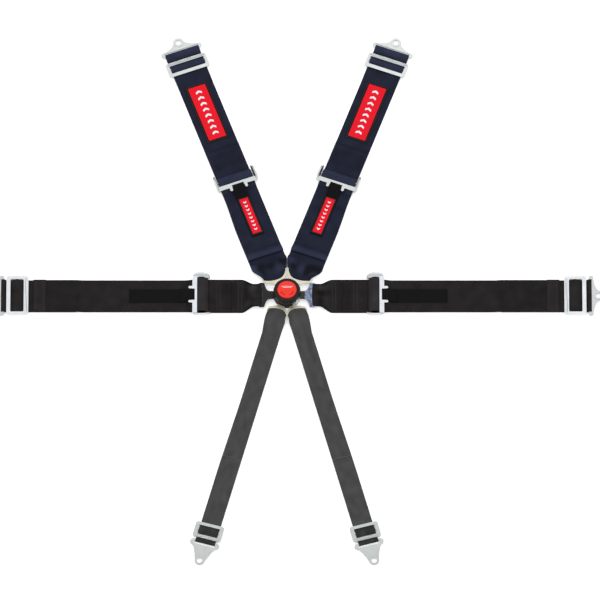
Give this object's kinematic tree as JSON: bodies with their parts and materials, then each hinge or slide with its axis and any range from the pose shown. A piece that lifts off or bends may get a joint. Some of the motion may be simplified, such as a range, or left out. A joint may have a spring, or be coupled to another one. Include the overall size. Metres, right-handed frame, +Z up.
{
  "type": "racing harness",
  "caption": "Rotary cam-lock racing harness laid flat: paired shoulder, lap and crotch belts with adjusters, release tabs, slides and bolt-in anchor tabs.",
  "frame": {"origin": "centre of the underside of the buckle's back plate", "axes": "+Z up out of the buckle's face, +Y towards the shoulder belts, +X towards the right lap belt (the right of the laid-out harness as seen from the crotch belts)"},
  "size_m": [1.317, 1.2757, 0.0355],
  "materials": {
    "webbing_navy": "polyester webbing, herringbone weave, matt",
    "webbing_black": "polyester webbing, ribbed weave, matt",
    "webbing_grey": "polyester webbing, plain weave, matt",
    "pull_tab_black": "cross-ribbed webbing, matt",
    "label_red": "woven label with a sewn black border",
    "zinc_steel": "zinc-plated, satin",
    "chrome": "polished",
    "tongue_steel": "satin, slightly yellow passivated",
    "black_chrome": "polished black",
    "black_steel": "satin black",
    "black_plastic": "fine-textured",
    "red_plastic": "satin, moulded",
    "spring_steel": "drawn wire, bright"
  },
  "bodies": {
    "buckle": {"back_plate": "black_steel", "housing": "black_chrome", "centre_post": "black_steel", "retaining_clip": "spring_steel", "return_spring": "spring_steel", "rivet_upper": "spring_steel", "rivet_lower": "spring_steel", "lap_left_tongue": "black_steel", "lap_left_inner_strap": "webbing_black", "lap_left_outer_strap": "webbing_black", "lap_left_adjuster_bar": "chrome", "lap_left_slide": "chrome"},
    "knob": {"knob": "black_plastic", "knob_face": "red_plastic", "cam_plate": "zinc_steel"},
    "shoulder_left_belt": {"shoulder_left_tongue": "tongue_steel", "shoulder_left_inner_strap": "webbing_navy", "shoulder_left_outer_strap": "webbing_navy", "shoulder_left_label": "label_red", "shoulder_left_adjuster_bar": "zinc_steel", "shoulder_left_slide": "zinc_steel"},
    "pawl_shoulder_left": {"pawl_shoulder_left": "zinc_steel"},
    "shoulder_left_adjuster": {"shoulder_left_adjuster_frame": "zinc_steel"},
    "shoulder_left_tab": {"shoulder_left_pull_tab": "pull_tab_black", "shoulder_left_pull_label": "label_red"},
    "shoulder_left_anchor": {"shoulder_left_anchor_tab": "zinc_steel"},
    "shoulder_right_belt": {"shoulder_right_tongue": "tongue_steel", "shoulder_right_inner_strap": "webbing_navy", "shoulder_right_outer_strap": "webbing_navy", "shoulder_right_label": "label_red", "shoulder_right_adjuster_bar": "zinc_steel", "shoulder_right_slide": "zinc_steel"},
    "pawl_shoulder_right": {"pawl_shoulder_right": "zinc_steel"},
    "shoulder_right_adjuster": {"shoulder_right_adjuster_frame": "zinc_steel"},
    "shoulder_right_tab": {"shoulder_right_pull_tab": "pull_tab_black", "shoulder_right_pull_label": "label_red"},
    "shoulder_right_anchor": {"shoulder_right_anchor_tab": "zinc_steel"},
    "lap_left_adjuster": {"lap_left_adjuster_frame": "chrome"},
    "lap_left_tab": {"lap_left_pull_tab": "pull_tab_black"},
    "lap_left_anchor": {"lap_left_anchor_tab": "chrome"},
    "lap_right_belt": {"lap_right_tongue": "tongue_steel", "lap_right_inner_strap": "webbing_black", "lap_right_outer_strap": "webbing_black", "lap_right_adjuster_bar": "chrome", "lap_right_slide": "chrome"},
    "pawl_lap_right": {"pawl_lap_right": "zinc_steel"},
    "lap_right_adjuster": {"lap_right_adjuster_frame": "chrome"},
    "lap_right_tab": {"lap_right_pull_tab": "pull_tab_black"},
    "lap_right_anchor": {"lap_right_anchor_tab": "chrome"},
    "crotch_left_belt": {"crotch_left_tongue": "tongue_steel", "crotch_left_strap": "webbing_grey", "crotch_left_slide": "zinc_steel"},
    "pawl_crotch_left": {"pawl_crotch_left": "zinc_steel"},
    "crotch_left_anchor": {"crotch_left_anchor_tab": "zinc_steel"},
    "crotch_right_belt": {"crotch_right_tongue": "tongue_steel", "crotch_right_strap": "webbing_grey", "crotch_right_slide": "zinc_steel"},
    "pawl_crotch_right": {"pawl_crotch_right": "zinc_steel"},
    "crotch_right_anchor": {"crotch_right_anchor_tab": "zinc_steel"}
  },
  "joints": [
    {"name": "knob_turn", "type": "hinge", "parent": "buckle", "child": "knob", "pos_m": [0, 0, 0.023], "axis": [0, 0, 1], "range_deg": [0, 45], "stiffness_Nm_per_rad": 0.05},
    {"name": "shoulder_left_release", "type": "slide", "parent": "buckle", "child": "shoulder_left_belt", "axis": [-0.515, 0.8572, 0], "range_m": [0, 0.04]},
    {"name": "pawl_tilt_shoulder_left", "type": "hinge", "parent": "buckle", "child": "pawl_shoulder_left", "pos_m": [-0.01125, 0.01873, 0.0107], "axis": [0.8572, 0.515, 0], "range_deg": [0, 20]},
    {"name": "shoulder_left_adjuster_tilt", "type": "hinge", "parent": "shoulder_left_belt", "child": "shoulder_left_adjuster", "pos_m": [-0.11192, 0.28436, 0.007], "axis": [-0.9385, -0.3453, 0], "range_deg": [0, 25]},
    {"name": "shoulder_left_tab_lift", "type": "hinge", "parent": "shoulder_left_adjuster", "child": "shoulder_left_tab", "pos_m": [-0.10509, 0.26578, 0.0112], "axis": [-0.9385, -0.3453, 0], "range_deg": [0, 60]},
    {"name": "shoulder_left_anchor_swing", "type": "hinge", "parent": "shoulder_left_belt", "child": "shoulder_left_anchor", "pos_m": [-0.22691, 0.59688, 0.0045], "axis": [0.9385, 0.3453, 0], "range_deg": [0, 60]},
    {"name": "shoulder_right_release", "type": "slide", "parent": "buckle", "child": "shoulder_right_belt", "axis": [0.515, 0.8572, 0], "range_m": [0, 0.04]},
    {"name": "pawl_tilt_shoulder_right", "type": "hinge", "parent": "buckle", "child": "pawl_shoulder_right", "pos_m": [0.01125, 0.01873, 0.0107], "axis": [0.8572, -0.515, 0], "range_deg": [0, 20]},
    {"name": "shoulder_right_adjuster_tilt", "type": "hinge", "parent": "shoulder_right_belt", "child": "shoulder_right_adjuster", "pos_m": [0.11192, 0.28436, 0.007], "axis": [-0.9385, 0.3453, 0], "range_deg": [0, 25]},
    {"name": "shoulder_right_tab_lift", "type": "hinge", "parent": "shoulder_right_adjuster", "child": "shoulder_right_tab", "pos_m": [0.10509, 0.26578, 0.0112], "axis": [-0.9385, 0.3453, 0], "range_deg": [0, 60]},
    {"name": "shoulder_right_anchor_swing", "type": "hinge", "parent": "shoulder_right_belt", "child": "shoulder_right_anchor", "pos_m": [0.22691, 0.59688, 0.0045], "axis": [0.9385, -0.3453, 0], "range_deg": [0, 60]},
    {"name": "lap_left_adjuster_tilt", "type": "hinge", "parent": "buckle", "child": "lap_left_adjuster", "pos_m": [-0.1815, 0, 0.007], "axis": [0, 1, 0], "range_deg": [0, 25]},
    {"name": "lap_left_tab_lift", "type": "hinge", "parent": "lap_left_adjuster", "child": "lap_left_tab", "pos_m": [-0.2013, 0, 0.0112], "axis": [0, 1, 0], "range_deg": [0, 60]},
    {"name": "lap_left_anchor_swing", "type": "hinge", "parent": "buckle", "child": "lap_left_anchor", "pos_m": [-0.6075, 0, 0.0045], "axis": [0, 1, 0], "range_deg": [0, 60]},
    {"name": "lap_right_release", "type": "slide", "parent": "buckle", "child": "lap_right_belt", "axis": [1, 0, 0], "range_m": [0, 0.04]},
    {"name": "pawl_tilt_lap_right", "type": "hinge", "parent": "buckle", "child": "pawl_lap_right", "pos_m": [0.02185, 0, 0.0107], "axis": [0, -1, 0], "range_deg": [0, 20]},
    {"name": "lap_right_adjuster_tilt", "type": "hinge", "parent": "lap_right_belt", "child": "lap_right_adjuster", "pos_m": [0.187, 0, 0.007], "axis": [0, -1, 0], "range_deg": [0, 25]},
    {"name": "lap_right_tab_lift", "type": "hinge", "parent": "lap_right_adjuster", "child": "lap_right_tab", "pos_m": [0.2068, 0, 0.0112], "axis": [0, -1, 0], "range_deg": [0, 60]},
    {"name": "lap_right_anchor_swing", "type": "hinge", "parent": "lap_right_belt", "child": "lap_right_anchor", "pos_m": [0.6475, 0, 0.0045], "axis": [0, -1, 0], "range_deg": [0, 60]},
    {"name": "crotch_left_release", "type": "slide", "parent": "buckle", "child": "crotch_left_belt", "axis": [-0.4305, -0.9026, 0], "range_m": [0, 0.04]},
    {"name": "pawl_tilt_crotch_left", "type": "hinge", "parent": "buckle", "child": "pawl_crotch_left", "pos_m": [-0.00941, -0.01972, 0.0107], "axis": [-0.9026, 0.4305, 0], "range_deg": [0, 20]},
    {"name": "crotch_left_anchor_swing", "type": "hinge", "parent": "crotch_left_belt", "child": "crotch_left_anchor", "pos_m": [-0.17292, -0.59147, 0.0045], "axis": [-0.9641, 0.2656, 0], "range_deg": [0, 60]},
    {"name": "crotch_right_release", "type": "slide", "parent": "buckle", "child": "crotch_right_belt", "axis": [0.4305, -0.9026, 0], "range_m": [0, 0.04]},
    {"name": "pawl_tilt_crotch_right", "type": "hinge", "parent": "buckle", "child": "pawl_crotch_right", "pos_m": [0.00941, -0.01972, 0.0107], "axis": [-0.9026, -0.4305, 0], "range_deg": [0, 20]},
    {"name": "crotch_right_anchor_swing", "type": "hinge", "parent": "crotch_right_belt", "child": "crotch_right_anchor", "pos_m": [0.17292, -0.59147, 0.0045], "axis": [-0.9641, -0.2656, 0], "range_deg": [0, 60]}
  ],
  "couplings": [
    {"joint": "pawl_tilt_shoulder_left", "follows": "knob_turn", "ratio": 0.44},
    {"joint": "pawl_tilt_shoulder_right", "follows": "knob_turn", "ratio": 0.44},
    {"joint": "pawl_tilt_lap_right", "follows": "knob_turn", "ratio": 0.44},
    {"joint": "pawl_tilt_crotch_left", "follows": "knob_turn", "ratio": 0.44},
    {"joint": "pawl_tilt_crotch_right", "follows": "knob_turn", "ratio": 0.44}
  ]
}
